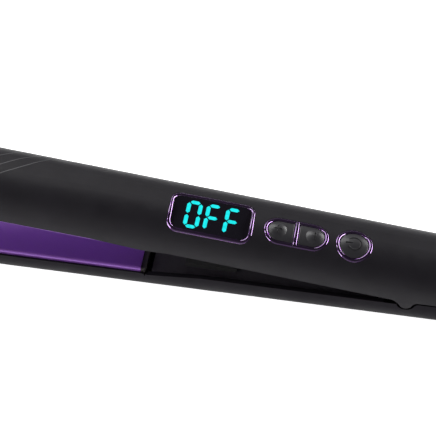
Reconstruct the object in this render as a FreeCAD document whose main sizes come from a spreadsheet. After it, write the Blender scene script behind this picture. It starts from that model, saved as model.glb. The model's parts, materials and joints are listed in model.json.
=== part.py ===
import FreeCAD, Part
import math
import os
import re
import Sketcher

# Flat iron. Every piece is drawn in the frame of its own arm, in millimetres: the hinge pin is the Y
# axis, the tips point along -X, and the two arms meet on the plane z = 0. Placements at the end of each
# piece then carry it into the row frame, whose origin is the middle of the bottom of the whole object.

os.makedirs("parts", exist_ok=True)
Vector = FreeCAD.Vector
doc = FreeCAD.newDocument("flat_iron")

SIZES = {
    # arm casings
    "arm_radius": 11.0, "tail_half": 13.05, "tip_half": 13.7, "wall": 1.6, "skirt": 3.0,
    "front_long": 188.0, "cap_long": 11.0, "cap_round": 7.0, "rear_long": 22.0, "foot_flat": 0.4,
    "open_angle": 4.835,
    # rims of the casings, measured from the plane where the arms meet
    "rim_plate": 1.5, "rim_step": 1.95, "rim_handle": 0.65, "rim_upper": 1.35, "rim_hinge": 0.45,
    "lobe_radius": 1.9, "flare_front": 4.0, "flare_rear": 2.0, "part_gap": 0.7, "ramp_long": 15.0,
    "rim_dip": 0.5, "step_long": 2.0, "tick_place": 1.1, "tick_wide": 0.3, "tick_deep": 0.5,
    # heater plates and what floats with them
    "plate_start": 74.5, "plate_long": 108.0, "plate_half": 12.5, "plate_thick": 2.0, "plate_edge": 0.8,
    "plate_gap": 0.3, "strip_wide": 1.5, "strip_drop": 0.4, "strip_half": 12.35, "strip_round": 1.2,
    "bed_thick": 1.05, "bed_half": 11.6, "bay_half": 8.0, "bay_inset": 18.0, "pocket_front": 2.8,
    "pocket_rear": 1.7, "pocket_half": 12.62, "pocket_step": 3.1, "deep_half": 11.8, "pocket_depth": 4.3,
    "heater_long": 62.0, "heater_half": 5.0, "heater_thick": 1.6, "clamp_thick": 0.5, "clamp_leg": 3.0,
    "sensor_long": 1.6, "sensor_half": 1.0, "sensor_thick": 1.2,
    # inner covers and their screws
    "cover_start": 71.5, "cover_end": 8.5, "cover_top": 1.9, "cover_thick": 1.4, "pad_start": 62.5,
    "pad_long": 14.5, "pad_half": 7.4, "pad_thick": 1.1, "screw_front": 69.0, "screw_rear": 13.0,
    "screw_side": 6.0, "screw_radius": 0.9, "screw_slack": 0.1, "head_radius": 1.7, "head_thick": 0.9,
    "boss_radius": 2.2, "cover_hole": 3.0, "cover_shank": 4.0, "flange_hole": 1.3, "flange_shank": 2.4,
    # hinge
    "pin_radius": 1.5, "pin_slack": 0.06, "pin_tail": 1.4, "pin_head": 0.8, "pin_lip": 0.9,
    "clip_thick": 0.6, "washer_thick": 0.35, "ear_inner": 3.9, "ear_outer": 6.1, "knuckle_half": 3.5,
    "eye_radius": 3.4, "knuckle_radius": 3.2, "flange_top": 7.0, "flange_thick": 1.3, "flange_half": 5.8,
    "flange_front": 7.5, "flange_rear": 12.0, "hinge_screw_front": 5.6, "hinge_screw_rear": 9.0,
    # springs
    "spring_reach": 20.0, "spring_side": 5.1, "spring_hole": 4.0, "spring_short": 0.6, "coil_radius": 2.3,
    "coil_wire": 0.35, "seat_radius": 3.2, "seat_depth": 7.3, "float_radius": 2.1, "float_wire": 0.35,
    "float_near": 86.0, "float_far": 171.0,
    # leads and thermal fuses
    "lead_radius": 0.55, "fuse_radius": 1.3, "fuse_long": 8.0, "fuse_start": 82.0, "lead_start": 74.0,
    "mains_radius": 0.8, "mains_side": 8.8, "mains_low": 4.4, "mains_start": 26.0, "mains_long": 40.0,
    # supply board in the lower handle
    "supply_start": 66.0, "supply_end": 26.0, "supply_half": 8.0, "supply_top": 6.0,
    # controls on the shoulder of the upper arm
    "tilt": 13.8, "control_side": 4.8, "control_rise": 10.68, "shell_proud": 0.12, "trim_wide": 1.1,
    "trim_deep": 1.2, "display_place": 57.5, "display_side": 0.45, "display_long": 23.0,
    "display_wide": 12.15, "display_corner": 2.6, "display_deep": 2.9, "window_top": 1.25,
    "window_thick": 1.1, "button_place": 33.45, "button_long": 17.3, "button_wide": 7.85,
    "power_place": 17.1, "power_radius": 4.7, "divider": 1.25, "button_gap": 0.15, "button_deep": 2.2,
    "dome_spread": 5.2, "dome_radius": 2.5, "power_dome": 3.75, "dome_rise": 0.42, "dome_sink": 0.35,
    "stem_radius": 1.0, "stem_low": 3.1, "stem_high": 1.5,
    "digit_high": 8.2, "digit_wide": 3.27, "digit_pitch": 5.5, "digit_along": 0.4, "digit_across": -0.2,
    "digit_lean": 1.5, "stroke": 1.1, "segment_gap": 0.46, "segment_thick": 0.3, "segment_proud": 0.02,
    "board_depth": 5.0, "board_thick": 1.0, "board_half": 5.2, "board_start": 70.5, "board_end": 10.5,
    "module_long": 19.0, "module_half": 4.4, "module_thick": 2.55, "switch_half": 2.2,
    "switch_thick": 1.05, "plunger_radius": 1.1, "plunger_rise": 0.4, "chip_place": 25.0,
    "chip_half": 2.0, "chip_thick": 0.5,
    # tail
    "collar_start": 22.4, "collar_end": 62.0, "collar_half": 10.2, "collar_radius": 9.6,
    "collar_wall": 2.0, "collar_floor": 2.5, "collar_round": 2.5, "spigot_long": 7.0, "spigot_wall": 1.0,
    "neck_radius": 6.2, "neck_slack": 0.08, "neck_long": 3.0, "neck_clip": 1.3, "neck_play": 0.3,
    "gland_end": 77.0, "gland_root": 8.2, "gland_tip": 5.4, "groove_radius": 0.55, "cord_radius": 3.5,
}

# Plain shapes for the parts on the supply board. A block: start and end along X and along Y, then height.
SUPPLY_BLOCKS = {"supply_chip": (-60, -54, -3, 3, 1.8), "supply_triac": (-48, -44, -6, 4, 2.4)}
SUPPLY_CAN = {"radius": "1.2", "start": "-40", "across": "-5", "high": "-supply_top + 1.25", "long": "9"}

sheet = doc.addObject("Spreadsheet::Sheet", "Sizes")
for row, (word, value) in enumerate(SIZES.items(), start=1):
    sheet.set(f"A{row}", word)
    sheet.set(f"B{row}", str(value))
    sheet.setAlias(f"B{row}", word)
doc.recompute()

KEPT = {}


def size(word):
    return float(sheet.get(word))


def bind(thing, **formulas):
    """Tie properties to formulas in the sheet's own words: Placement_Base_x stands for Placement.Base.x."""
    for name, formula in formulas.items():
        linked = re.sub(r"[a-z_]{3,}", lambda word: "Sizes." + word.group(), formula)
        thing.setExpression(name.replace("_", "."), linked)


def box(name, x, y, z):
    """A block between two formulas along each axis."""
    piece = doc.addObject("Part::Box", name)
    bind(piece, Length=f"({x[1]}) - ({x[0]})", Width=f"({y[1]}) - ({y[0]})", Height=f"({z[1]}) - ({z[0]})")
    bind(piece, Placement_Base_x=x[0], Placement_Base_y=y[0], Placement_Base_z=z[0])
    return piece


def rod(name, radius, start, length, along="z"):
    """A round bar from a start point of three formulas, along one axis."""
    piece = doc.addObject("Part::Cylinder", name)
    turn = {"z": (Vector(0, 0, 1), 0), "x": (Vector(0, 1, 0), 90), "y": (Vector(1, 0, 0), -90)}[along]
    piece.Placement.Rotation = FreeCAD.Rotation(*turn)
    bind(piece, Radius=radius, Height=length)
    bind(piece, Placement_Base_x=start[0], Placement_Base_y=start[1], Placement_Base_z=start[2])
    return piece


def fuse(name, *pieces):
    whole = doc.addObject("Part::MultiFuse", name)
    whole.Shapes = list(pieces)
    whole.Refine = True
    return whole


def cut(name, base, *tools):
    rest = doc.addObject("Part::Cut", name)
    rest.Base = base
    rest.Tool = tools[0] if len(tools) == 1 else fuse(name + "_tools", *tools)
    return rest


def common(name, *pieces):
    shared = doc.addObject("Part::MultiCommon", name)
    shared.Shapes = list(pieces)
    return shared


def group(name, place, *pieces):
    """Pieces carried together to another place."""
    whole = doc.addObject("Part::Compound", name)
    whole.Links = list(pieces)
    whole.Placement = place
    return whole


def keep(node, place, *pieces):
    """A finished sub-part: the object whose Label names its node."""
    whole = group(node, place, *pieces)
    whole.Label = node
    KEPT[node] = whole


# Where each arm lies in the row frame. FLIPPED turns a piece drawn for the lower arm over into the upper.
ROW = FreeCAD.Placement(
    Vector((size("front_long") + size("cap_long") - size("gland_end")) / 2, 0,
           size("arm_radius") - size("foot_flat")),
    FreeCAD.Rotation(),
)
LOWER = ROW
UPPER = ROW.multiply(FreeCAD.Placement(Vector(), FreeCAD.Rotation(Vector(0, 1, 0), size("open_angle"))))
FLIPPED = UPPER.multiply(FreeCAD.Placement(Vector(), FreeCAD.Rotation(Vector(1, 0, 0), 180)))
CONTROL = FreeCAD.Placement(
    Vector(0, -size("control_side"), size("control_rise")),
    FreeCAD.Rotation(Vector(1, 0, 0), size("tilt")),
)
DISPLAY = CONTROL.multiply(FreeCAD.Placement(Vector(0, size("display_side"), 0), FreeCAD.Rotation()))
CONTROL_DEEP = 4
CONTROL_HIGH = 3


def half_width(x):
    """Half the casing's width at x: it narrows evenly from the tip to the tail."""
    return size("tail_half") - (size("tip_half") - size("tail_half")) * x / size("front_long")


def section(name, x, side, half, radius, skirt):
    """Half of an arm's cross-section: a round back on the given side, and a straight skirt past z = 0."""
    flat = half - radius
    lean = radius / math.sqrt(2)
    corners = [
        Vector(x, -half, -side * skirt), Vector(x, -half, 0), Vector(x, -flat, side * radius),
        Vector(x, flat, side * radius), Vector(x, half, 0), Vector(x, half, -side * skirt),
    ]
    edges = [
        Part.makeLine(corners[0], corners[1]),
        Part.Arc(corners[1], Vector(x, -flat - lean, side * lean), corners[2]).toShape(),
        Part.makeLine(corners[2], corners[3]),
        Part.Arc(corners[3], Vector(x, flat + lean, side * lean), corners[4]).toShape(),
        Part.makeLine(corners[4], corners[5]),
        Part.makeLine(corners[5], corners[0]),
    ]
    outline = doc.addObject("Part::Feature", name)
    outline.Shape = Part.Wire(edges)
    return outline


def loft(name, *sections):
    solid = doc.addObject("Part::Loft", name)
    solid.Sections = list(sections)
    solid.Solid = True
    solid.Ruled = True
    return solid


def arm_solid(name, side, grow, start, end):
    """The arm's half body between two places along X, grown outward all round."""
    ends = [
        section(f"{name}_{number}", x, side, half_width(x) + grow, size("arm_radius") + grow, size("skirt"))
        for number, x in enumerate((start, end))
    ]
    return loft(name, *ends)


def slab(name, edges, half_wide=20):
    """A side-view outline in the XZ plane, drawn out along Y on both sides."""
    face = doc.addObject("Part::Feature", name + "_face")
    face.Shape = Part.Face(Part.Wire(edges))
    solid = doc.addObject("Part::Extrusion", name)
    solid.Base = face
    solid.DirMode = "Custom"
    solid.Dir = Vector(0, 1, 0)
    solid.LengthFwd = half_wide
    solid.LengthRev = half_wide
    solid.Solid = True
    return solid


def polyline(*points):
    spots = [Vector(x, 0, z) for x, z in points]
    return [Part.makeLine(a, b) for a, b in zip(spots, spots[1:])]


def lobe_edges(radius, flares, rims):
    """The hinge lobe's outline below the rims before and behind it: flare, round end, flare."""
    def flare_centre(flare, rim):
        drop = flare - rim
        return math.sqrt((radius + flare) ** 2 - drop ** 2), -drop

    def flare_arc(start, centre, end, flare):
        middle = (start + end) * 0.5 - centre
        return Part.Arc(start, centre + middle.normalize() * flare, end).toShape()

    front_x, front_z = flare_centre(flares[0], rims[0])
    rear_x, rear_z = flare_centre(flares[1], rims[1])
    front_centre = Vector(-front_x, 0, front_z)
    rear_centre = Vector(rear_x, 0, rear_z)
    touch_front = front_centre * (radius / (radius + flares[0]))
    touch_rear = rear_centre * (radius / (radius + flares[1]))
    return [
        flare_arc(Vector(-front_x, 0, rims[0]), front_centre, touch_front, flares[0]),
        Part.Arc(touch_front, Vector(0, 0, -radius), touch_rear).toShape(),
        flare_arc(touch_rear, rear_centre, Vector(rear_x, 0, rims[1]), flares[1]),
    ]


FAR = 260
TALL = 30
ACROSS = ("-20", "20")
WALL_SHARE = 0.3
TOUCH = 0.1
SNUG = 0.02


def upper_rim():
    """Everything below the upper casing's rim, its hinge lobe left standing, and behind its tail."""
    lobe = lobe_edges(size("lobe_radius"), (size("flare_front"), size("flare_rear")),
                      (size("rim_hinge"), size("part_gap")))
    front = lobe[0].Vertexes[0].Point
    rear = lobe[-1].Vertexes[-1].Point
    lean = math.tan(math.radians(size("open_angle")))
    tail = size("rear_long")
    plate = size("plate_start")
    front_line = polyline(
        (-FAR, -TALL), (-FAR, size("rim_plate")), (-plate - size("ramp_long"), size("rim_plate")),
        (-plate, size("rim_upper") - size("rim_dip")),
        (-plate + size("ramp_long") / 2, size("rim_upper")), (front.x, front.z),
    )
    rear_line = polyline(
        (rear.x, rear.z), (tail, size("part_gap") + (tail - rear.x) * lean), (tail - TALL * lean, TALL),
        (FAR, TALL), (FAR, -TALL), (-FAR, -TALL),
    )
    return slab("upper_rim", front_line + lobe + rear_line)


def lower_rim():
    """Everything above the lower casing's rim, which dips round the upper casing's hinge lobe."""
    gap = size("part_gap")
    radius = size("lobe_radius") + gap
    lobe = lobe_edges(radius, (size("flare_front") - gap, size("flare_rear") - gap), (0, 0))
    rim = -size("rim_handle")
    corner = Vector(-math.sqrt(radius ** 2 - rim ** 2), 0, rim)
    touch = lobe[1].Vertexes[-1].Point
    rear = lobe[-1].Vertexes[-1].Point
    plate = size("plate_start")
    step_end = -plate + size("step_long")
    front_line = polyline(
        (-FAR, TALL), (-FAR, -size("rim_plate")), (-plate, -size("rim_plate")),
        (step_end, -size("rim_step")), (step_end + size("ramp_long"), rim), (corner.x, corner.z),
    )
    round_end = Part.Arc(corner, Vector(0, 0, -radius), touch).toShape()
    rear_line = polyline((rear.x, rear.z), (FAR, 0), (FAR, TALL), (-FAR, TALL))
    return slab("lower_rim", front_line + [round_end, lobe[-1]] + rear_line)


def plate_pocket(name, side):
    """Room for a plate and its carrier: wide down to where the plate sinks, narrower for the bed below."""
    along = ("-plate_start - plate_long - pocket_front", "-plate_start + pocket_rear")
    blocks = []
    for part, half, deep in (("wide", "pocket_half", "pocket_step"), ("deep", "deep_half", "pocket_depth")):
        height = ("-" + deep, f"{TALL}") if side < 0 else (f"-{TALL}", deep)
        blocks.append(box(f"{name}_{part}", along, ("-" + half, half), height))
    return fuse(name, *blocks)


def within_wall(name, side):
    """The arm's half body out to a little way inside its wall, where inner features end."""
    return arm_solid(name, side, -WALL_SHARE * size("wall"), -size("front_long"), size("rear_long"))


def bosses(name, side, spots):
    """Screw bosses that stand on the casing's inner face, each with a hole for its screw."""
    inside = within_wall(name + "_inside", side)
    posts, holes = [], []
    for number, (x, y, reach, deep) in enumerate(spots):
        start = "-arm_radius" if side < 0 else reach
        length = f"arm_radius - ({reach})"
        posts.append(rod(f"{name}_post{number}", "boss_radius", (x, y, start), length))
        bottom = f"-({reach}) - {deep}" if side < 0 else reach
        holes.append(rod(f"{name}_hole{number}", "screw_radius", (x, y, bottom), deep))
    return common(name, fuse(name + "_posts", *posts), inside), holes


def shell_blank(name, side, tail):
    """The casing's wall, its bore open at the front end and running back to the given place."""
    outer = arm_solid(name + "_outer", side, 0, -size("front_long"), size("collar_start"))
    inner = arm_solid(name + "_inner", side, -size("wall"), -size("front_long") - size("wall"), tail)
    return cut(name, outer, inner)


def spring_seat(arm, side):
    """A post on the casing's inner face for one end of the opening spring."""
    low, high = ("-arm_radius", "-seat_depth - coil_wire") if side < 0 else ("seat_depth", "arm_radius")
    disc = rod(arm + "_seat_disc", "seat_radius", ("-spring_reach", "spring_side", low),
               f"({high}) - ({low})")
    return common(arm + "_seat", disc, within_wall(arm + "_seat_inside", side))


def foot_block(name):
    """What is cut from under the lower arm to leave the narrow flat it lies on."""
    return box(name, (f"-{FAR}", f"{FAR}"), ACROSS, ("-2 * arm_radius", "-arm_radius + foot_flat"))


def screw_bosses(arm, side, row):
    """The two bosses of the inner cover's screws and the two of the hinge flange's."""
    cover_reach = "cover_top + cover_thick"
    flange_reach = "flange_top + flange_thick"
    return bosses(arm + "_bosses", side, [
        ("-screw_front", row, cover_reach, "cover_hole"), ("-screw_rear", row, cover_reach, "cover_hole"),
        ("-hinge_screw_front", "0", flange_reach, "flange_hole"),
        ("hinge_screw_rear", "0", flange_reach, "flange_hole"),
    ])


def lower_shell():
    blank = shell_blank("lower_blank", -1, size("rear_long") + size("wall"))
    posts, holes = screw_bosses("lower", -1, "0")
    body = fuse("lower_body", blank, posts, spring_seat("lower", -1))
    tick = box("lower_tick", ("-plate_start + tick_place", "-plate_start + tick_place + tick_wide"), ACROSS,
               ("-rim_step - tick_deep", "5"))
    keep("lower_shell", LOWER, cut("lower_shell_solid", body, lower_rim(), plate_pocket("lower_pocket", -1),
                                   foot_block("lower_foot"), tick, *holes))


def control_prism(name, place, grow):
    """A rounded block across the shoulder, standing along the controls' normal: the display's outline."""
    long = f"(display_long / 2 + {grow})"
    wide = f"(display_wide / 2 + {grow})"
    corner = f"(display_corner + {grow})"
    x, low, high = "-display_place", "-display_deep", f"{CONTROL_HIGH}"
    blocks = [
        box(name + "_long", (f"{x} - {long}", f"{x} + {long}"), (f"{corner} - {wide}", f"{wide} - {corner}"),
            (low, high)),
        box(name + "_wide", (f"{x} - {long} + {corner}", f"{x} + {long} - {corner}"), (f"-{wide}", wide),
            (low, high)),
    ]
    rounds = [
        rod(f"{name}_round{along}{across}", corner,
            (f"{x} + {along} * ({long} - {corner})", f"{across} * ({wide} - {corner})", low),
            f"{high} - ({low})")
        for along in (-1, 1) for across in (-1, 1)
    ]
    return group(name, place, fuse(name + "_solid", *blocks, *rounds))


def control_slot(name, grow):
    """A round-ended block standing along the controls' normal: the outline of the button pair."""
    reach = "(button_long - button_wide) / 2"
    radius = f"button_wide / 2 + ({grow})"
    ends = [
        rod(f"{name}_end{along}", radius, (f"-button_place + {along} * {reach}", "0", f"-{CONTROL_DEEP}"),
            f"{CONTROL_DEEP + CONTROL_HIGH}")
        for along in (-1, 1)
    ]
    middle = box(name + "_middle", (f"-button_place - {reach}", f"-button_place + {reach}"),
                 (f"-({radius})", radius), (f"-{CONTROL_DEEP}", f"{CONTROL_HIGH}"))
    return group(name, CONTROL, fuse(name + "_solid", middle, *ends))


def control_disc(name, radius):
    """A round block standing along the controls' normal: the outline of the power button."""
    disc = rod(name + "_rod", radius, ("-power_place", "0", f"-{CONTROL_DEEP}"),
               f"{CONTROL_DEEP + CONTROL_HIGH}")
    return group(name, CONTROL, disc)


def skin(name, grow, thick):
    """The upper casing's own surface, grown outward, as a layer of the given thickness."""
    start, end = -size("plate_start"), -size("flange_front") / 2
    outer = arm_solid(name + "_out", 1, grow, start, end)
    return cut(name, outer, arm_solid(name + "_in", 1, grow - thick, start, end))


def upper_shell():
    blank = shell_blank("upper_blank", 1, size("rear_long") - size("wall"))
    posts, holes = screw_bosses("upper", 1, "screw_side")
    body = fuse("upper_body", blank, posts, spring_seat("upper", 1))
    openings = [
        control_prism("display_hole", DISPLAY, "trim_wide / 2"),
        control_slot("button_hole", "trim_wide / 2"),
        control_disc("power_hole", "power_radius + trim_wide / 2"),
    ]
    keep("upper_shell", UPPER, cut("upper_shell_solid", body, upper_rim(), plate_pocket("upper_pocket", 1),
                                   *openings, *holes))


def blunt(name, grow, start, end, rounding):
    """An arm's half body whose front end is rounded all round its outer edge."""
    blank = arm_solid(name + "_blank", -1, grow, start, end)
    doc.recompute()
    rounded = doc.addObject("Part::Fillet", name)
    rounded.Base = blank
    rounded.Edges = [
        (number, rounding, rounding) for number, edge in enumerate(blank.Shape.Edges, start=1)
        if all(abs(v.X - start) < 1e-6 for v in edge.Vertexes) and edge.BoundBox.ZMin < -0.01
        and max(v.Z for v in edge.Vertexes) < 0.01
    ]
    return rounded


def tip_cap(node, place):
    """The rounded end of one arm, with a deck that closes the casing in front of the plate."""
    wall = size("wall")
    nose = -size("front_long") - size("cap_long")
    outer = blunt(node + "_outer", 0, nose, -size("front_long"), size("cap_round"))
    inner = blunt(node + "_inner", -wall, nose + wall, -size("front_long") + wall, size("cap_round") - wall)
    above = box(node + "_above", (f"-{FAR}", "0"), ACROSS, ("-rim_plate", f"{TALL}"))
    deck = box(node + "_deck", (f"-{FAR}", "0"), ACROSS, ("-rim_plate - wall", f"{TALL}"))
    hollow = cut(node + "_hollow", inner, deck)
    tongue = box(node + "_tongue",
                 ("-front_long - wall / 2", "-plate_start - plate_long - pocket_front + wall / 3"),
                 ("-deep_half + wall / 2", "deep_half - wall / 2"), ("-rim_plate - wall", "-rim_plate"))
    shell = cut(node + "_shell", outer, above, hollow, foot_block(node + "_foot"))
    keep(node, place, fuse(node + "_solid", shell, tongue))


def cover(node, place, row, spring):
    """The flat inner cover of one handle, with holes for its screws and for the opening spring."""
    blank = common(
        node + "_blank",
        box(node + "_sheet", ("-cover_start", "-cover_end"), ACROSS,
            ("-cover_top - cover_thick", "-cover_top")),
        arm_solid(node + "_inside", -1, -size("wall") - TOUCH, -size("front_long"), size("rear_long")),
    )
    low, through = "-arm_radius", "arm_radius"
    holes = [
        rod(f"{node}_{x}", "screw_radius + screw_slack", ("-" + x, row, low), through)
        for x in ("screw_front", "screw_rear")
    ]
    holes.append(rod(node + "_spring_hole", "spring_hole", ("-spring_reach", spring, low), through))
    keep(node, place, cut(node + "_solid", blank, *holes))


def screw(name, x, y, head_base, deep):
    """A pan head on the face at head_base, and a shank that goes down from it."""
    head = rod(name + "_head", "head_radius", (x, y, head_base), "head_thick")
    drive = rod(name + "_drive", "head_radius / 3", (x, y, f"{head_base} + head_thick / 2"), "head_thick")
    shank = rod(name + "_shank", "screw_radius", (x, y, f"{head_base} - {deep}"), deep)
    return fuse(name, cut(name + "_driven", head, drive), shank)


def screws(node, place, row):
    spots = [
        ("-screw_front", row, "-cover_top", "cover_shank"), ("-screw_rear", row, "-cover_top", "cover_shank"),
        ("-hinge_screw_front", "0", "-flange_top", "flange_shank"),
        ("hinge_screw_rear", "0", "-flange_top", "flange_shank"),
    ]
    keep(node, place, *[screw(f"{node}_{number}", *spot) for number, spot in enumerate(spots)])


def plate(node, place):
    """A heater plate: a pad on the plane of its own origin, with its two long edges rounded."""
    body = doc.addObject("PartDesign::Body", node + "_body")
    plane = next(item for item in body.Origin.OriginFeatures if item.Role == "XY_Plane")
    sketch = body.newObject("Sketcher::SketchObject", node + "_sketch")
    sketch.AttachmentSupport = [(plane, "")]
    sketch.MapMode = "FlatFace"
    half = size("plate_half")
    long = size("plate_long")
    corners = [Vector(-long, -half), Vector(0, -half), Vector(0, half), Vector(-long, half)]
    for start, end in zip(corners, corners[1:] + corners[:1]):
        sketch.addGeometry(Part.LineSegment(start, end), False)
    for number in range(4):
        sketch.addConstraint(Sketcher.Constraint("Coincident", number, 2, (number + 1) % 4, 1))
    for number, direction in ((0, "Horizontal"), (2, "Horizontal"), (3, "Vertical")):
        sketch.addConstraint(Sketcher.Constraint(direction, number))
    sketch.addConstraint(Sketcher.Constraint("PointOnObject", 1, 1, -2))
    sketch.addConstraint(Sketcher.Constraint("Symmetric", 1, 1, 1, 2, -1))
    for name, geometry, kind, formula in (("long", 0, "DistanceX", "Sizes.plate_long"),
                                          ("wide", 1, "DistanceY", "2 * Sizes.plate_half")):
        index = sketch.addConstraint(Sketcher.Constraint(kind, geometry, 1, geometry, 2,
                                                         long if kind == "DistanceX" else 2 * half))
        sketch.renameConstraint(index, name)
        sketch.setExpression("Constraints." + name, formula)
    pad = body.newObject("PartDesign::Pad", node + "_pad")
    pad.Profile = sketch
    bind(pad, Length="plate_thick")
    doc.recompute()
    edges = [
        f"Edge{number}" for number, edge in enumerate(pad.Shape.Edges, start=1)
        if edge.BoundBox.XLength > 1 and edge.BoundBox.ZMin > size("plate_thick") / 2
    ]
    rounding = body.newObject("PartDesign::Fillet", node + "_edge")
    rounding.Base = (pad, edges)
    bind(rounding, Radius="plate_edge")
    bind(body, Placement_Base_x="-plate_start", Placement_Base_z="-plate_gap / 2 - plate_thick")
    keep(node, place, body)


UNDER_PLATE = "-plate_gap / 2 - plate_thick"
PLATE_FAR = "-plate_start - plate_long"
PLATE_MIDDLE = "-plate_start - plate_long / 2"


def carrier(node, place):
    """The heat-proof frame that holds the plate, its two end strips showing past the plate's ends."""
    along = (f"{PLATE_FAR} - strip_wide", "-plate_start + strip_wide")
    strips = box(node + "_strips", along, ("-strip_half", "strip_half"),
                 (f"{UNDER_PLATE} - {TOUCH}", "-plate_gap / 2 - strip_drop"))
    doc.recompute()
    rounded = doc.addObject("Part::Fillet", node + "_rounded")
    rounded.Base = strips
    rounded.Edges = [
        (number, size("strip_round"), size("strip_round"))
        for number, edge in enumerate(strips.Shape.Edges, start=1)
        if edge.BoundBox.XLength < 0.01 and edge.BoundBox.YLength < 0.01
    ]
    bed = box(node + "_bed", along, ("-bed_half", "bed_half"), (f"{UNDER_PLATE} - bed_thick", UNDER_PLATE))
    nest = box(node + "_nest", (PLATE_FAR, "-plate_start"), ACROSS, (UNDER_PLATE, f"{TALL}"))
    bay = box(node + "_bay", (f"{PLATE_FAR} + bay_inset", "-plate_start - bay_inset"),
              ("-bay_half", "bay_half"), (f"-{TALL}", f"{TALL}"))
    keep(node, place, cut(node + "_solid", fuse(node + "_blank", rounded, bed), nest, bay))


def heater(arm, place):
    """The heating element under the plate, its clamp, and the sensor beside it."""
    half = "heater_long / 2"
    element = box(f"{arm}_heater_block", (f"{PLATE_MIDDLE} - {half}", f"{PLATE_MIDDLE} + {half}"),
                  ("-heater_half", "heater_half"), (f"{UNDER_PLATE} - heater_thick", UNDER_PLATE))
    keep(f"{arm}_heater", place, element)
    beside = ("-heater_half - wall / 2", "heater_half + wall / 2")
    strip = box(f"{arm}_clamp_strip",
                (f"{PLATE_MIDDLE} - {half} - clamp_leg", f"{PLATE_MIDDLE} + {half} + clamp_leg"), beside,
                (f"{UNDER_PLATE} - heater_thick - clamp_thick", f"{UNDER_PLATE} - heater_thick"))
    legs = [
        box(f"{arm}_clamp_leg{number}", (start, f"{start} + clamp_leg"), beside,
            (f"{UNDER_PLATE} - heater_thick", UNDER_PLATE))
        for number, start in enumerate((f"{PLATE_MIDDLE} + {half}", f"{PLATE_MIDDLE} - {half} - clamp_leg"))
    ]
    keep(f"{arm}_heater_clamp", place, fuse(f"{arm}_clamp_solid", strip, *legs))
    beyond = f"{PLATE_MIDDLE} + {half} + clamp_leg + {TOUCH}"
    bead = box(f"{arm}_sensor_bead", (beyond, f"{beyond} + sensor_long"), ("-sensor_half", "sensor_half"),
               (f"{UNDER_PLATE} - sensor_thick", UNDER_PLATE))
    keep(f"{arm}_sensor", place, bead)


def coil(name, radius, wire, x, y, z, height, turns):
    """A coil spring that stands along Z on the height z."""
    helix = doc.addObject("Part::Helix", name + "_line")
    bind(helix, Radius=radius, Height=height, Pitch=f"({height}) / {turns}")
    ring = doc.addObject("Part::Circle", name + "_ring")
    bind(ring, Radius=wire)
    ring.Placement.Rotation = FreeCAD.Rotation(Vector(1, 0, 0), 90)
    bind(ring, Placement_Base_x=radius)
    sweep = doc.addObject("Part::Sweep", name)
    sweep.Sections = [ring]
    sweep.Spine = (helix, ["Edge1"])
    sweep.Solid = True
    sweep.Frenet = True
    bind(sweep, Placement_Base_x=x, Placement_Base_y=y, Placement_Base_z=z)
    return sweep


def float_springs(arm, place):
    """Two coils between the casing's inner face and the plate's carrier."""
    top = size("plate_gap") / 2 + size("plate_thick") + size("bed_thick") + size("float_wire")
    base = size("arm_radius") - size("wall") - size("float_wire")
    coils = [
        coil(f"{arm}_{spot}", "float_radius", "float_wire", f"-{spot}", "0", str(TOUCH - base),
             str(base - top - 2 * TOUCH), 3)
        for spot in ("float_near", "float_far")
    ]
    keep(f"{arm}_float_springs", place, *coils)


def heater_leads(arm, place, row, high, low, back):
    """The two leads of a heater, beside each other or one over the other, with a thermal fuse in one."""
    can = rod(f"{arm}_fuse_can", "fuse_radius", ("-fuse_start", row[0], high), "fuse_long", "x")
    keep(f"{arm}_thermal_fuse", place, can)
    fused = rod(f"{arm}_fused_lead", "lead_radius", ("-lead_start", row[0], high),
                f"lead_start - {back}", "x")
    plain = rod(f"{arm}_plain_lead", "lead_radius", ("-fuse_start", row[1], low),
                f"fuse_start - {back}", "x")
    keep(f"{arm}_heater_leads", place, fused, plain)


def power_board():
    """The supply board in the lower handle with its parts, and the two mains leads."""
    sheet_block = box("power_sheet", ("-supply_start", "-supply_end"), ("-supply_half", "supply_half"),
                      ("-supply_top - board_thick", "-supply_top"))
    keep("power_board", LOWER, sheet_block)
    parts = [
        box(name, (str(x0), str(x1)), (str(y0), str(y1)), ("-supply_top", f"-supply_top + {high}"))
        for name, (x0, x1, y0, y1, high) in SUPPLY_BLOCKS.items()
    ]
    can = SUPPLY_CAN
    parts.append(rod("supply_can", can["radius"], (can["start"], can["across"], can["high"]), can["long"], "x"))
    keep("power_parts", LOWER, *parts)
    leads = [
        rod(f"mains_lead{across}", "mains_radius", ("-mains_start", f"{across} * mains_side", "-mains_low"),
            "mains_long", "x")
        for across in (-1, 1)
    ]
    keep("mains_leads", LOWER, *leads)


def flange_holes(name):
    return [
        rod(f"{name}_{x.strip('-')}", "screw_radius", (x, "0", f"-{TALL}"), f"{2 * TALL}")
        for x in ("-hinge_screw_front", "hinge_screw_rear")
    ]


def hinge_yoke():
    """The lower arm's two ears, standing on a flange."""
    pieces = [box("yoke_flange", ("-flange_front", "flange_rear"), ("-ear_outer", "ear_outer"),
                  ("-flange_top - flange_thick", "-flange_top"))]
    for number, (near, far) in enumerate((("-ear_outer", "-ear_inner"), ("ear_inner", "ear_outer"))):
        pieces.append(rod(f"yoke_eye{number}", "eye_radius", ("0", near, "0"), "ear_outer - ear_inner", "y"))
        pieces.append(box(f"yoke_ear{number}", ("-eye_radius", "eye_radius"), (near, far),
                          (f"-flange_top - {TOUCH}", "0")))
    bore = rod("yoke_bore", "pin_radius", ("0", f"-{TALL}", "0"), f"{2 * TALL}", "y")
    keep("hinge_yoke", LOWER, cut("yoke_solid", fuse("yoke_blank", *pieces), bore, *flange_holes("yoke")))


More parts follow.
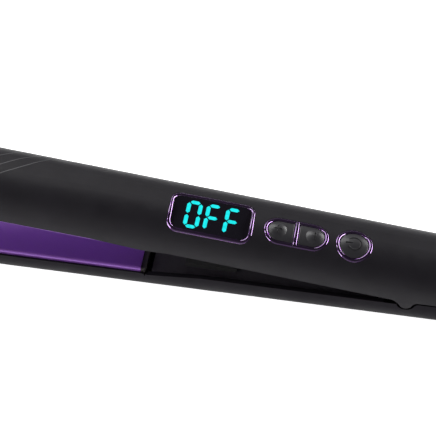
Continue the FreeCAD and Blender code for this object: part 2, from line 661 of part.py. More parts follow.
def hinge_knuckle():
    """The upper arm's eye between the ears, hanging from a flange."""
    eye = rod("knuckle_eye", "knuckle_radius", ("0", "-knuckle_half", "0"), "2 * knuckle_half", "y")
    stem = box("knuckle_stem", ("-knuckle_radius", "knuckle_radius"), ("-knuckle_half", "knuckle_half"),
               ("0", f"flange_top + {TOUCH}"))
    flange = box("knuckle_flange", ("-flange_front", "flange_rear"), ("-flange_half", "flange_half"),
                 ("flange_top", "flange_top + flange_thick"))
    bore = rod("knuckle_bore", "pin_radius + pin_slack", ("0", f"-{TALL}", "0"), f"{2 * TALL}", "y")
    keep("hinge_knuckle", UPPER, cut("knuckle_solid", fuse("knuckle_blank", eye, stem, flange), bore,
                                     *flange_holes("knuckle")))


def washer(name, radius, hole, start, thick):
    """A flat ring round the hinge pin."""
    disc = rod(name + "_disc", radius, ("0", start, "0"), thick, "y")
    return cut(name, disc, rod(name + "_hole", hole, ("0", f"-{TALL}", "0"), f"{2 * TALL}", "y"))


def hinge_pin():
    """The pin with its head, the clip on its far end, and a washer on each side of the knuckle."""
    shaft = rod("pin_shaft", "pin_radius", ("0", "-ear_outer", "0"), "2 * ear_outer + pin_tail", "y")
    head = rod("pin_head", "pin_radius + pin_lip", ("0", "-ear_outer - pin_head", "0"), "pin_head", "y")
    keep("hinge_pin", LOWER, fuse("pin_solid", shaft, head))
    clip = washer("clip_ring", "pin_radius + pin_lip", "pin_radius", "ear_outer", "clip_thick")
    keep("pin_clip", LOWER, clip)
    washers = [
        washer(f"washer_{number}", "eye_radius - screw_slack", "pin_radius + pin_slack / 3", start,
               "washer_thick")
        for number, start in enumerate(("-ear_inner", "ear_inner - washer_thick"))
    ]
    keep("hinge_washers", LOWER, *washers)


def opening_spring():
    """The coil that pushes the arms open: it stands on the lower casing and stops short of the upper seat."""
    lean = math.radians(size("open_angle"))
    seat = size("seat_depth") * math.cos(lean) + size("spring_reach") * math.sin(lean)
    rise = seat + size("seat_depth") - size("coil_wire") - size("spring_short")
    spring = coil("opening_coil", "coil_radius", "coil_wire", "-spring_reach", "spring_side",
                  f"-seat_depth + {TOUCH / 2}", str(rise), 8)
    keep("opening_spring", LOWER, spring)


def stop_pad():
    block = box("stop_block", ("-pad_start", "-pad_start + pad_long"), ("-pad_half", "pad_half"),
                ("-cover_top", "-cover_top + pad_thick"))
    keep("stop_pad", LOWER, block)


def segment(name, centre_x, centre_y, long, turn):
    """One lit segment: a thin bar with pointed ends, let into the window's face."""
    half = size("stroke") / 2
    reach = long / 2
    low = -size("window_top") - size("segment_thick")
    outline = [(-reach, 0), (-reach + half, half), (reach - half, half), (reach, 0), (reach - half, -half),
               (-reach + half, -half)]
    spots = [Vector(x, y, low) for x, y in outline]
    rise = Vector(0, 0, size("segment_thick") + size("segment_proud"))
    bar = doc.addObject("Part::Feature", name)
    bar.Shape = Part.Face(Part.makePolygon(spots + spots[:1])).extrude(rise)
    bar.Placement = FreeCAD.Placement(Vector(centre_x, centre_y, 0), FreeCAD.Rotation(Vector(0, 0, 1), turn))
    return bar


def digit_segments(name, middle, lit):
    """The lit bars of one seven-segment digit, leaning a little to the right."""
    wide = size("digit_wide")
    half = size("digit_high") / 2
    lean = math.tan(math.radians(size("digit_lean")))
    flat_long = wide - size("segment_gap")
    tall_long = half - size("segment_gap")
    bars = []
    for letter, x, y, long, turn in (
        ("a", 0, half, flat_long, 0), ("g", 0, 0, flat_long, 0), ("d", 0, -half, flat_long, 0),
        ("f", -wide / 2, half / 2, tall_long, 90), ("b", wide / 2, half / 2, tall_long, 90),
        ("e", -wide / 2, -half / 2, tall_long, 90), ("c", wide / 2, -half / 2, tall_long, 90),
    ):
        if letter in lit:
            tilt = turn - size("digit_lean") if turn else 0
            across = y + size("digit_across")
            bars.append(segment(f"{name}_{letter}", middle + x + y * lean, across, long, tilt))
    return bars


def display_trim():
    """The display's ring: its face follows the casing, a little proud of it."""
    ring = cut("display_ring", control_prism("display_ring_out", DISPLAY, "trim_wide / 2"),
               control_prism("display_ring_in", DISPLAY, "(-trim_wide / 2)"))
    face = arm_solid("display_ring_face", 1, size("shell_proud"), -size("plate_start"), -size("button_place"))
    keep("display_trim", UPPER, common("display_trim_solid", ring, face))


def display():
    """The flat window, the lit segments let into it, and the module behind it."""
    start = -size("display_place") + size("digit_along") - size("digit_pitch")
    bars = []
    for number, lit in enumerate(("abcdef", "aefg", "aefg")):
        bars += digit_segments(f"digit{number}", start + number * size("digit_pitch"), lit)
    keep("display_segments", UPPER, group("display_lights", DISPLAY, *bars))
    layer = box("window_layer", (f"-{FAR}", "0"), ACROSS, ("-window_top - window_thick", "-window_top"))
    pane = common("display_pane", control_prism("display_pane_out", DISPLAY, "(-trim_wide / 2)"),
                  group("window_layer_placed", DISPLAY, layer))
    pockets = group("segment_pockets", DISPLAY, *bars)
    keep("display_window", UPPER, cut("display_window_solid", pane, pockets))
    module = box("display_block", ("-display_place - module_long / 2", "-display_place + module_long / 2"),
                 ("-module_half", "module_half"), ("-board_depth", "-board_depth + module_thick"))
    keep("display_module", UPPER, group("display_module_placed", CONTROL, module))


def button_trims():
    """The ring with a divider round the two small buttons, and the ring round the power button."""
    bar = box("pair_bar", ("-button_place - divider / 2", "-button_place + divider / 2"),
              ("-button_wide / 2", "button_wide / 2"), (f"-{CONTROL_DEEP}", f"{CONTROL_HIGH}"))
    hoop = cut("pair_hoop", control_slot("pair_out", "trim_wide / 2"),
               control_slot("pair_in", "-trim_wide / 2"))
    ring = fuse("pair_ring", hoop, group("pair_bar_placed", CONTROL, bar))
    layer = skin("button_trim_skin", size("shell_proud"), size("trim_deep"))
    keep("button_trim", UPPER, common("button_trim_solid", ring, layer))
    hoop = cut("power_hoop", control_disc("power_out", "power_radius + trim_wide / 2"),
               control_disc("power_in", "power_radius - trim_wide / 2"))
    layer = skin("power_trim_skin", size("shell_proud"), size("trim_deep"))
    keep("power_trim", UPPER, common("power_trim_solid", hoop, layer))


def dome(name, x, radius):
    """A shallow dome for a fingertip: the part of a large ball that stands inside a disc."""
    rise = size("dome_rise") + size("dome_sink")
    ball = (size(radius) ** 2 + rise ** 2) / (2 * rise)
    sphere = doc.addObject("Part::Sphere", name + "_ball")
    sphere.Radius = ball
    bind(sphere, Placement_Base_x=x, Placement_Base_z=f"dome_rise - {ball}")
    disc = rod(name + "_disc", radius, (x, "0", "-stem_high"), "stem_high + dome_rise + dome_sink")
    return group(name, CONTROL, common(name + "_cap", sphere, disc))


def stem(name, x):
    """The post under a button that reaches down to its switch."""
    post = rod(name + "_rod", "stem_radius", (x, "0", "-stem_low"), "stem_low - stem_high")
    return group(name, CONTROL, post)


def buttons():
    """Three caps that travel along the controls' normal, each with a stem above its switch."""
    for node, along in (("plus_button", -1), ("minus_button", 1)):
        outline = control_slot(node + "_outline", "-trim_wide / 2 - button_gap")
        edge = f"-button_place + ({along}) * (divider / 2 + button_gap)"
        away = f"-button_place + ({along}) * button_long"
        block = box(node + "_half_block", (away, edge) if along < 0 else (edge, away), ACROSS,
                    (f"-{TALL}", f"{TALL}"))
        half = group(node + "_half", CONTROL, block)
        place = f"-button_place + ({along}) * dome_spread"
        face = common(node + "_cap", outline, half, skin(node + "_skin", 0, size("button_deep")))
        keep(node, UPPER, fuse(node + "_solid", face, dome(node + "_dome", place, "dome_radius"),
                               stem(node + "_stem", place)))
    disc = control_disc("power_outline", "power_radius - trim_wide / 2 - button_gap")
    face = common("power_cap", disc, skin("power_skin", 0, size("button_deep")))
    finger_dome = dome("power_dome_cap", "-power_place", "power_dome")
    keep("power_button", UPPER, fuse("power_button_solid", face, finger_dome,
                                     stem("power_stem", "-power_place")))


def control_board():
    """The board under the controls, with a switch under each button and the controller on its back."""
    sheet_block = box("board_sheet", ("-board_start", "-board_end"), ("-board_half", "board_half"),
                      ("-board_depth - board_thick", "-board_depth"))
    keep("control_board", UPPER, group("board_placed", CONTROL, sheet_block))
    places = ["-button_place - dome_spread", "-button_place + dome_spread", "-power_place"]
    switches = []
    for number, place in enumerate(places):
        can = box(f"switch_can{number}", (f"{place} - switch_half", f"{place} + switch_half"),
                  ("-switch_half", "switch_half"), ("-board_depth", "-board_depth + switch_thick"))
        plunger = rod(f"switch_plunger{number}", "plunger_radius",
                      (place, "0", "-board_depth + switch_thick / 2"), "switch_thick / 2 + plunger_rise")
        switches.append(group(f"switch_{number}", CONTROL, fuse(f"switch_solid{number}", can, plunger)))
    keep("button_switches", UPPER, *switches)
    chip = box("chip_block", ("-chip_place - chip_half", "-chip_place + chip_half"),
               ("-chip_half", "chip_half"),
               ("-board_depth - board_thick - chip_thick", "-board_depth - board_thick"))
    keep("control_chip", UPPER, group("chip_placed", CONTROL, chip))


def full_section(name, x, half, radius):
    """A whole round-sided section of the tail."""
    flat = half - radius
    edges = [
        Part.makeLine(Vector(x, -flat, radius), Vector(x, flat, radius)),
        Part.Arc(Vector(x, flat, radius), Vector(x, half, 0), Vector(x, flat, -radius)).toShape(),
        Part.makeLine(Vector(x, flat, -radius), Vector(x, -flat, -radius)),
        Part.Arc(Vector(x, -flat, -radius), Vector(x, -half, 0), Vector(x, -flat, radius)).toShape(),
    ]
    outline = doc.addObject("Part::Feature", name)
    outline.Shape = Part.Wire(edges)
    return outline


def tail_solid(name, grow, start, end):
    wide = half_width(size("collar_start"))
    return loft(name, full_section(name + "_a", start, wide + grow, size("arm_radius") + grow),
                full_section(name + "_b", end, size("collar_half") + grow, size("collar_radius") + grow))


def rear_collar():
    """The round tail behind both arms: a spigot holds it in the lower casing, a bore holds the swivel."""
    start, end, wall = size("collar_start"), size("collar_end"), size("wall")
    blank = tail_solid("collar_blank", 0, start, end)
    doc.recompute()
    rounded = doc.addObject("Part::Fillet", "collar_outer")
    rounded.Base = blank
    rounded.Edges = [
        (number, size("collar_round"), size("collar_round"))
        for number, edge in enumerate(blank.Shape.Edges, start=1)
        if all(abs(v.X - end) < 1e-6 for v in edge.Vertexes)
    ]
    inner = tail_solid("collar_inner", -size("collar_wall"), start - 1, end - size("collar_floor"))
    bore = rod("collar_bore", "neck_radius + neck_slack", ("collar_start", "0", "0"), "collar_end", "x")
    long = size("spigot_long")
    spigot = cut(
        "collar_spigot",
        arm_solid("spigot_out", -1, -wall - SNUG, start - long, start + 1),
        arm_solid("spigot_in", -1, -wall - size("spigot_wall"), start - long - 1, start + 2),
        box("spigot_top", ("0", f"{FAR}"), ACROSS, ("-rim_plate", f"{TALL}")),
    )
    shell = cut("collar_shell", rounded, inner, bore, foot_block("collar_foot"))
    keep("rear_collar", LOWER, fuse("collar_solid", shell, spigot))


def swivel():
    """The cord's swivel sleeve with its bore, and the clip that keeps it in the collar."""
    face = "collar_end - collar_floor"
    neck = rod("swivel_neck", "neck_radius", (f"{face} - neck_long", "0", "0"),
               "neck_long + collar_floor + neck_play + wall / 3", "x")
    cone = doc.addObject("Part::Cone", "swivel_cone")
    cone.Placement.Rotation = FreeCAD.Rotation(Vector(0, 1, 0), 90)
    root = "collar_end + neck_play"
    bind(cone, Radius1="gland_root", Radius2="gland_tip", Height=f"gland_end - ({root})",
         Placement_Base_x=root)
    grooves = []
    for share in (0.2, 0.4, 0.6, 0.8):
        ring = doc.addObject("Part::Torus", f"swivel_groove_{len(grooves)}")
        ring.Placement.Rotation = FreeCAD.Rotation(Vector(0, 1, 0), 90)
        bind(ring, Radius1=f"gland_root + (gland_tip - gland_root) * {share} + groove_radius / 3",
             Radius2="groove_radius", Placement_Base_x=f"{root} + (gland_end - ({root})) * {share}")
        grooves.append(ring)
    bore = rod("swivel_bore", "cord_radius", ("0", "0", "0"), f"{FAR}", "x")
    keep("swivel_sleeve", LOWER, cut("swivel_solid", fuse("swivel_blank", neck, cone), bore, *grooves))
    ring = rod("swivel_clip_ring", "neck_radius + spigot_wall", (f"{face} - neck_play - neck_clip", "0", "0"),
               "neck_clip", "x")
    hole = rod("swivel_clip_hole", "neck_radius", ("0", "0", "0"), f"{FAR}", "x")
    keep("swivel_clip", LOWER, cut("swivel_clip_solid", ring, hole))


def build():
    lower_shell()
    upper_shell()
    for arm, place, row, spring in (
        ("lower", LOWER, "0", "spring_side"), ("upper", FLIPPED, "-screw_side", "-spring_side"),
    ):
        tip_cap(f"{arm}_tip_cap", place)
        cover(f"{arm}_cover", place, row, spring)
        screws(f"{arm}_screws", place, row)
        plate(f"{arm}_plate", place)
        carrier(f"{arm}_carrier", place)
        heater(arm, place)
        float_springs(arm, place)
    heater_leads("lower", LOWER, ("-5", "5"), "-7.4", "-7.4", "66.5")
    heater_leads("upper", FLIPPED, ("-2.9", "-2.9"), "-6.8", "-4.8", "30")
    power_board()
    hinge_yoke()
    hinge_knuckle()
    hinge_pin()
    opening_spring()
    stop_pad()
    display_trim()
    display()
    button_trims()
    buttons()
    control_board()
    rear_collar()
    swivel()


def export():
    """Stop on anything that failed to build, then write one STEP file for each sub-part."""
    doc.recompute()
    for item in doc.Objects:
        if "Invalid" in item.State or "Error" in item.State:
            raise RuntimeError(f"{item.Name} failed: {item.State}")
    for node, whole in KEPT.items():
        if whole.Shape.isNull() or not whole.Shape.isValid() or not whole.Shape.Solids:
            raise RuntimeError(f"{node} has no valid solid")
        whole.Shape.exportStep(f"parts/{node}.step")
        print(f"{node:22s} {len(whole.Shape.Solids):2d} solids {whole.Shape.Volume:10.1f} mm3")


build()
export()
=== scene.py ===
import json
import math

import bpy
import numpy as np
from mathutils import Matrix, Vector


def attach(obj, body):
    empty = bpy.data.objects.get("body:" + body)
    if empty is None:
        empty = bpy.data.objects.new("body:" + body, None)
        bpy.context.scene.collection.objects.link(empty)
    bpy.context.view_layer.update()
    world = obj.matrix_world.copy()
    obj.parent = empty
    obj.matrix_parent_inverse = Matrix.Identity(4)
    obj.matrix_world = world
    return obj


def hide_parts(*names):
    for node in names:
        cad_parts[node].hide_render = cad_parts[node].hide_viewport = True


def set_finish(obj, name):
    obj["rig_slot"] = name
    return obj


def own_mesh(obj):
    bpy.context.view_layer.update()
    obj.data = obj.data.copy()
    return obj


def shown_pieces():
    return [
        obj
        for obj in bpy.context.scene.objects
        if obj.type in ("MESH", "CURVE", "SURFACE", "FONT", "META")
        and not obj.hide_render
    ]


# The looks of the flat iron. Lengths in this script are millimetres unless a name says otherwise, and
# they are turned into Blender's metres where a mesh, a light or the camera is made.

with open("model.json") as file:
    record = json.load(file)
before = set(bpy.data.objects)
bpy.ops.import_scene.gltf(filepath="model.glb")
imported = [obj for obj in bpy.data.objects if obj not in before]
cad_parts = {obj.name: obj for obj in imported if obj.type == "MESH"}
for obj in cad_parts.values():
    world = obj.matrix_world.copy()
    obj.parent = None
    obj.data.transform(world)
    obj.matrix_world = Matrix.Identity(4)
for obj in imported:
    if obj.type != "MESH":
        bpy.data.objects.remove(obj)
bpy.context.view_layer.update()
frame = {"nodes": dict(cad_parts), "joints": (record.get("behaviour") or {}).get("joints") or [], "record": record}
MM = 0.001

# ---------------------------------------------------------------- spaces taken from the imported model

JOINTS = {joint["name"]: joint for joint in frame["joints"]}
PIVOT = Vector(JOINTS["arm_hinge"]["pos_m"])
ARM_UP = Vector(JOINTS["upper_plate_float"]["axis"])

# ARM: the upper arm's own space. The hinge pin is its Y axis and the tips point along -X.
ARM = Matrix.Translation(PIVOT) @ Matrix.Rotation(math.atan2(ARM_UP.x, ARM_UP.z), 4, "Y")
PRESS = ARM.to_3x3().inverted() @ Vector(JOINTS["power_button_press"]["axis"])
TILT = math.atan2(PRESS.y, -PRESS.z)

# CONTROL: the same origin, with Z standing out of the shoulder along the buttons' travel.
CONTROL = ARM @ Matrix.Rotation(TILT, 4, "X")


def node_points(node, space):
    """A CAD node's vertices in millimetres of one of the spaces above."""
    mesh = frame["nodes"][node].data
    flat = np.empty(len(mesh.vertices) * 3)
    mesh.vertices.foreach_get("co", flat)
    back = np.array(space.inverted())
    return (flat.reshape(-1, 3) @ back[:3, :3].T + back[:3, 3]) / MM


def node_box(node, space):
    """Lowest and highest corners of a CAD node in one of the spaces above."""
    points = node_points(node, space)
    return points.min(axis=0), points.max(axis=0)


def to_row(points, space):
    """Millimetres of a space into metres of the row frame."""
    carry = np.array(space)
    return np.asarray(points) * MM @ carry[:3, :3].T + carry[:3, 3]


# The flat along the casing's back, and its points near each end, which give its taper.
RIDGE_SKIN = 0.005
RIDGE_END = 0.5
SHELL = node_points("upper_shell", ARM)
ROUND = SHELL[:, 2].max()
RIDGE = SHELL[SHELL[:, 2] > ROUND - RIDGE_SKIN]
RIDGE_TIP = RIDGE[RIDGE[:, 0] < RIDGE[:, 0].min() + RIDGE_END]
RIDGE_TAIL = RIDGE[RIDGE[:, 0] > RIDGE[:, 0].max() - RIDGE_END]


def flat_half(x):
    """Half the width of the flat along the casing's back, which is narrower towards the tail."""
    ends = [RIDGE_TIP[:, 0].mean(), RIDGE_TAIL[:, 0].mean()]
    return np.interp(x, ends, [abs(RIDGE_TIP[:, 1]).max(), abs(RIDGE_TAIL[:, 1]).max()])


def shoulder(x, y):
    """Height in CONTROL of the casing's surface over the points x, y."""
    x, y = np.broadcast_arrays(np.asarray(x, float), np.asarray(y, float))
    flat = flat_half(x)
    sine, cosine = math.sin(TILT), math.cos(TILT)
    level = (ROUND - y * sine) / cosine
    across = y * cosine - level * sine
    side = np.where(across < 0, -1, 1)
    bend = -side * flat * sine + np.sqrt(ROUND**2 - (y - side * flat * cosine) ** 2)
    return np.where(abs(across) <= flat, level, bend)


def casing_point(x, around, grow):
    """A point in ARM on the casing: around is the way along the surface from its back's middle to -Y."""
    flat = flat_half(x)
    reach = ROUND + grow
    angle = max(abs(around) - flat, 0.0) / ROUND
    side = min(abs(around), flat) + reach * math.sin(angle)
    return [x, -math.copysign(side, around), reach * math.cos(angle)]


# ---------------------------------------------------------------- meshes

BEZEL_STEP = 0.16
CAP_STEP = 0.11
RING_STEP = 0.075
SAME_SPOT = 1e-4


def mesh_piece(name, points, faces, body, slot, smooth_angle=40):
    """A mesh object from points in metres, riding on a body and finished like a material slot."""
    mesh = bpy.data.meshes.new(name)
    mesh.from_pydata([tuple(point) for point in points], [], faces)
    mesh.validate()
    mesh.update()
    piece = bpy.data.objects.new(name, mesh)
    bpy.context.scene.collection.objects.link(piece)
    mesh.shade_smooth()
    mesh.set_sharp_from_angle(angle=math.radians(smooth_angle))
    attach(piece, body)
    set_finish(piece, slot)
    return piece


def loop_faces(rows, count, closed):
    """Quads between loops of count points each; closed also joins the last loop to the first."""
    faces = []
    for row in range(rows if closed else rows - 1):
        here, above = row * count, (row + 1) % rows * count
        for spot in range(count):
            after = (spot + 1) % count
            faces.append((here + spot, here + after, above + after, above + spot))
    return faces


def end_faces(rows, count):
    """The two faces that close the ends of a run of open loops."""
    return [tuple(range(count))[::-1], tuple(range((rows - 1) * count, rows * count))]


def rounded_outline(long, wide, left, right, step):
    """Points and outward normals of a rounded rectangle round (0, 0), with a corner size at each end."""
    centres = [
        (long / 2 - right, wide / 2 - right, right), (-long / 2 + left, wide / 2 - left, left),
        (-long / 2 + left, -wide / 2 + left, left), (long / 2 - right, -wide / 2 + right, right),
    ]
    points, normals = [], []
    for quarter, (x, y, corner) in enumerate(centres):
        turns = max(6, round(corner * math.pi / 2 / step))
        for turn in range(turns + 1):
            angle = (quarter + turn / turns) * math.pi / 2
            normals.append((math.cos(angle), math.sin(angle)))
            points.append((x + corner * normals[-1][0], y + corner * normals[-1][1]))
        next_x, next_y, next_corner = centres[(quarter + 1) % 4]
        start = np.array(points[-1])
        end = np.array((next_x + next_corner * normals[-1][0], next_y + next_corner * normals[-1][1]))
        steps = round(float(np.linalg.norm(end - start)) / step)
        for spot in range(1, steps):
            points.append(tuple(start + (end - start) * spot / steps))
            normals.append(normals[-1])
    points, normals = np.array(points), np.array(normals)
    apart = np.linalg.norm(points - np.roll(points, 1, axis=0), axis=1) > SAME_SPOT
    return points[apart], normals[apart]


def edge_arc(radius, start, end, steps):
    """Offsets from an arc's centre, from one angle in degrees to another."""
    angles = [math.radians(start + (end - start) * step / steps) for step in range(steps + 1)]
    return [(radius * math.cos(angle), radius * math.sin(angle)) for angle in angles]


# ---------------------------------------------------------------- bezels and buttons

# Bezels stand a little proud of the shoulder. A chamfer's corners are rounded by CRISP.
TRIM_WIDE = 1.1
TRIM_PROUD = 0.12
DIVIDER_WIDE = 1.25
DIVIDER_INSET = 0.4
DIVIDER_ROWS = 40
DISPLAY_CORNER = 3.15
CHAMFER_WIDE = 0.32
CHAMFER_DROP = 0.22
CRISP = 0.03
BEZEL_DISH = 0.03

# Caps lie a little below the shoulder. A mark's groove is MARK_HALF either side of its line, and then
# rises over MARK_SOFT.
CAP_ROUND = 0.25
CAP_SINK = 0.1
CAP_DEEP = 1.6
BLUNT = 0.35
STEM_RADIUS = 1.0
STEM_SKIN = 0.01
DOME_RISE = 0.6
PAIR_DOME = 2.5
POWER_DOME = 3.75
MARK_DEEP = 0.26
MARK_HALF = 0.13
MARK_SOFT = 0.1
MARK_REACH = 0.95
RING_RADIUS = 1.9
RING_GAP = 80
RING_STROKE = (-2.3, -0.6)


def bezel_profile(wide):
    """Across a bezel's face, from its outer side to its inner: a chamfer on each edge of a dished top."""
    half = wide / 2
    edge = [
        (half, -CHAMFER_DROP - CRISP), (half - CRISP, -CHAMFER_DROP + CRISP / 2),
        (half - CHAMFER_WIDE + CRISP, -CRISP / 2), (half - CHAMFER_WIDE - CRISP, 0),
    ]
    outer = [(u, TRIM_PROUD + v) for u, v in edge]
    inner = [(-u, v) for u, v in outer[::-1]]
    return [*outer, (0, TRIM_PROUD - BEZEL_DISH), *inner]


def bezel(name, node, corner):
    """A ring on the shoulder that takes its outline and its depth from the CAD ring it stands for."""
    low, high = node_box(node, CONTROL)
    centre = (low + high) / 2
    long, across = (high - low)[:2]
    size = min(corner, across / 2) - TRIM_WIDE / 2
    points, normals = rounded_outline(long - TRIM_WIDE, across - TRIM_WIDE, size, size, BEZEL_STEP)
    rows = []
    for u, v in [(TRIM_WIDE / 2, None), *bezel_profile(TRIM_WIDE), (-TRIM_WIDE / 2, None)]:
        x = centre[0] + points[:, 0] + normals[:, 0] * u
        y = centre[1] + points[:, 1] + normals[:, 1] * u
        z = np.full_like(x, low[2]) if v is None else shoulder(x, y) + v
        rows.append(np.stack([x, y, z], axis=1))
    faces = loop_faces(len(rows), len(points), True)
    piece = mesh_piece(name, to_row(np.concatenate(rows), CONTROL), faces, "upper_arm", "trim", 60)
    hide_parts(node)


def divider(name, node):
    """The bar that parts a bezel's opening in two, its ends buried in the ring."""
    low, high = node_box(node, CONTROL)
    middle = (low[0] + high[0]) / 2
    rows = []
    for y in np.linspace(low[1] + DIVIDER_INSET, high[1] - DIVIDER_INSET, DIVIDER_ROWS):
        face = [
            [middle + u, y, float(shoulder(middle + u, y)) + v] for u, v in bezel_profile(DIVIDER_WIDE)
        ]
        foot = [[middle + side * DIVIDER_WIDE / 2, y, low[2]] for side in (1, -1)]
        rows.append([foot[0], *face, foot[1]])
    count = len(rows[0])
    faces = loop_faces(len(rows), count, False) + end_faces(len(rows), count)
    mesh_piece(name, to_row(np.concatenate(rows), CONTROL), faces, "upper_arm", "trim", 60)


def to_stroke(x, y, start, end):
    """Distance of points from a straight stroke."""
    start, along = np.array(start, float), np.subtract(end, start).astype(float)
    share = np.clip(((x - start[0]) * along[0] + (y - start[1]) * along[1]) / (along @ along), 0, 1)
    return np.hypot(x - start[0] - share * along[0], y - start[1] - share * along[1])


def to_open_ring(x, y, radius, gap_degrees):
    """Distance from a ring round (0, 0) that is open towards -X."""
    angle = np.arctan2(y, x)
    limit = math.pi - math.radians(gap_degrees) / 2
    nearest = np.clip(angle, -limit, limit)
    return np.hypot(x - radius * np.cos(nearest), y - radius * np.sin(nearest))


def minus_mark(x, y):
    """Distance from a stroke across the arm."""
    return to_stroke(x, y, (0, -MARK_REACH), (0, MARK_REACH))


def plus_mark(x, y):
    """Distance from two crossed strokes."""
    return np.minimum(to_stroke(x, y, (-MARK_REACH, 0), (MARK_REACH, 0)), minus_mark(x, y))


def power_mark(x, y):
    """Distance from an open ring with a stroke in its gap."""
    start, end = RING_STROKE
    return np.minimum(to_open_ring(x, y, RING_RADIUS, RING_GAP), to_stroke(x, y, (start, 0), (end, 0)))


def cap(name, node, corners, dome_radius, mark):
    """A button: a cap that fills its bezel, with a domed finger spot over its stem and an engraved mark."""
    points = node_points(node, CONTROL)
    low, high = points.min(axis=0), points.max(axis=0)
    middle = (low + high) / 2
    core = points[np.abs(points[:, 1] - middle[1]) < STEM_RADIUS + STEM_SKIN]
    stem_low = core[:, 2].min()
    stem_end = core[core[:, 2] < stem_low + STEM_SKIN]
    spot = np.array([stem_end[:, 0].mean() - middle[0], 0.0])
    outline, normals = rounded_outline(high[0] - low[0], high[1] - low[1], *corners, CAP_STEP)

    def level(xy):
        """Height of the cap's face over points round the outline's own middle."""
        x, y = xy[:, 0] - spot[0], xy[:, 1] - spot[1]
        dome = DOME_RISE * np.clip(1 - (x**2 + y**2) / dome_radius**2, 0, None)
        cut = np.clip((MARK_HALF + MARK_SOFT - mark(x, y)) / MARK_SOFT, 0, 1)
        base = shoulder(xy[:, 0] + middle[0], xy[:, 1] + middle[1])
        return base - CAP_SINK + dome - MARK_DEEP * cut * cut * (3 - 2 * cut)

    def row(xy, z):
        x, y = xy[:, 0] + middle[0], xy[:, 1] + middle[1]
        return np.stack([x, y, np.broadcast_to(z, x.shape)], axis=1)

    toward = outline - spot
    stem = spot + STEM_RADIUS * toward / np.linalg.norm(toward, axis=1)[:, None]
    under = float(level(outline).min()) - CAP_DEEP
    rows = [row(stem, stem_low), row(stem, under), row(outline, under)]
    for u, v in edge_arc(CAP_ROUND, 0, 90, 4):
        inset = outline + normals * (u - CAP_ROUND)
        rows.append(row(inset, level(inset) - CAP_ROUND + v))
    inner = outline - normals * CAP_ROUND
    rings = math.ceil(np.linalg.norm(inner - spot, axis=1).max() / RING_STEP)
    for ring in range(1, rings):
        inset = spot + (inner - spot) * (1 - ring / rings)
        rows.append(row(inset, level(inset)))
    count = len(outline)
    faces = loop_faces(len(rows), count, False)
    poles = [row(spot[None], level(spot[None])), row(spot[None], stem_low)]
    mesh_points = np.concatenate(rows + poles)
    top, bottom = len(mesh_points) - 2, len(mesh_points) - 1
    last = (len(rows) - 1) * count
    for index in range(count):
        after = (index + 1) % count
        faces.append((last + index, last + after, top))
        faces.append((after, index, bottom))
    piece = mesh_piece(name, to_row(mesh_points, CONTROL), faces, node, "button", 50)
    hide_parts(node)


def end_round(node):
    """Corner size of a cap whose end is a half circle."""
    low, high = node_box(node, CONTROL)
    return (high - low)[1] / 2


bezel("display_bezel", "display_trim", DISPLAY_CORNER)
bezel("button_bezel", "button_trim", ROUND)
bezel("power_bezel", "power_trim", ROUND)
divider("button_divider", "button_trim")
cap("plus_cap", "plus_button", (end_round("plus_button"), BLUNT), PAIR_DOME, plus_mark)
cap("minus_cap", "minus_button", (BLUNT, end_round("plus_button")), PAIR_DOME, minus_mark)
cap("power_cap", "power_button", (end_round("power_button"),) * 2, POWER_DOME, power_mark)

# ---------------------------------------------------------------- springs

# Each spring is a copy of the CAD's helix that rides on its body; it does not shorten as its joint moves. The
# table gives its body, its joint, its axis, how its fixed end is picked (the lowest or the highest along the axis)
# and the share of the length to keep; the fixed end is found, but it, the joint and the share are not used.
UP = Vector((0, 0, 1))
SPRINGS = {
    "lower_float_springs": ("lower_arm", "lower_plate_float", UP, min, 0.85),
    "upper_float_springs": ("upper_arm", "upper_plate_float", ARM_UP, max, 0.85),
    "opening_spring": ("lower_arm", "arm_hinge", UP, min, 0.8),
}
for node, (body, joint, axis, pick, keep) in SPRINGS.items():
    coil = bpy.data.objects.new(node.replace("spring", "coil"), frame["nodes"][node].data.copy())
    bpy.context.scene.collection.objects.link(coil)
    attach(coil, body)
    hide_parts(node)
    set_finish(coil, "steel")
    fixed_end = pick(vertex.co @ axis for vertex in coil.data.vertices)
    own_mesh(coil)

# ---------------------------------------------------------------- pinstripes on the upper arm

# Each pinstripe goes through three places, given along the arm and round it from its back's middle.
STRIPE_HALF = 0.14
STRIPE_PROUD = 0.02
STRIPE_EDGE = 0.6 * STRIPE_PROUD
STRIPE_POINT = 0.02
STRIPE_TAPER = 0.25
STRIPE_POINTS = 90
PINSTRIPES = {
    "pinstripe_long": ((-124.0, 9.5), (-115.2, 2.4), (-105.0, -6.0)),
    "pinstripe_middle": ((-126.0, 8.5), (-116.4, -0.8), (-107.0, -7.5)),
    "pinstripe_short": ((-128.0, 6.5), (-118.9, -3.1), (-110.5, -8.8)),
}


def arc_through(first, middle, last, steps):
    """Points along the circle through three points."""
    (ax, ay), (bx, by), (cx, cy) = first, middle, last
    turn = 2 * (ax * (by - cy) + bx * (cy - ay) + cx * (ay - by))
    a, b, c = ax**2 + ay**2, bx**2 + by**2, cx**2 + cy**2
    centre = np.array([
        (a * (by - cy) + b * (cy - ay) + c * (ay - by)) / turn,
        (a * (cx - bx) + b * (ax - cx) + c * (bx - ax)) / turn,
    ])
    angles = np.unwrap([math.atan2(*(np.array(spot) - centre)[::-1]) for spot in (first, middle, last)])
    radius = np.linalg.norm(np.array(first) - centre)
    sweep = np.linspace(angles[0], angles[2], steps)
    return centre + radius * np.stack([np.cos(sweep), np.sin(sweep)], axis=1)


